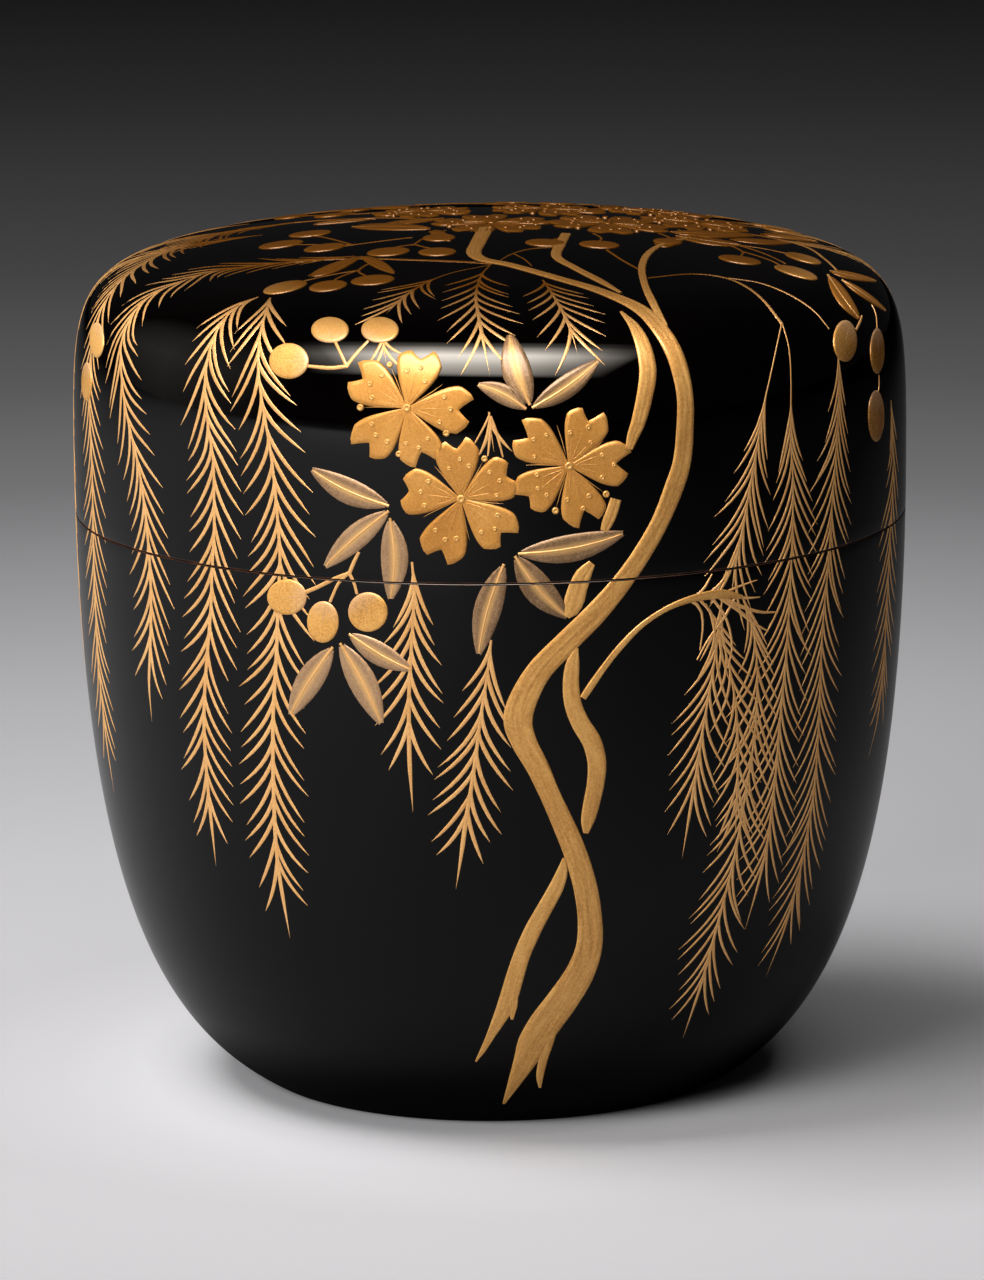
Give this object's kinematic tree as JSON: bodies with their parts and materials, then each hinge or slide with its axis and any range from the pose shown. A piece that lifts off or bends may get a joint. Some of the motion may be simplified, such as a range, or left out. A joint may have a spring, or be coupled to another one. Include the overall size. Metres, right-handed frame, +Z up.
{
  "type": "tea caddy",
  "caption": "Round lacquered wooden tea caddy: turned hollow cup with a raised inner lip, under a domed lift-off lid that rests on the ledge outside the lip.",
  "frame": {"origin": "middle of the underside, on the surface that the foot ring stands on", "axes": "+Z up along the turning axis; -Y is the side with the cherry trunk and blossoms, +X is to the right of it"},
  "size_m": [0.066, 0.066, 0.0682],
  "materials": {
    "black_lacquer": "gloss",
    "gold_makie": "satin",
    "silver_makie": "satin"
  },
  "bodies": {
    "root": {"body": "black_lacquer", "lid": "black_lacquer"}
  },
  "joints": []
}
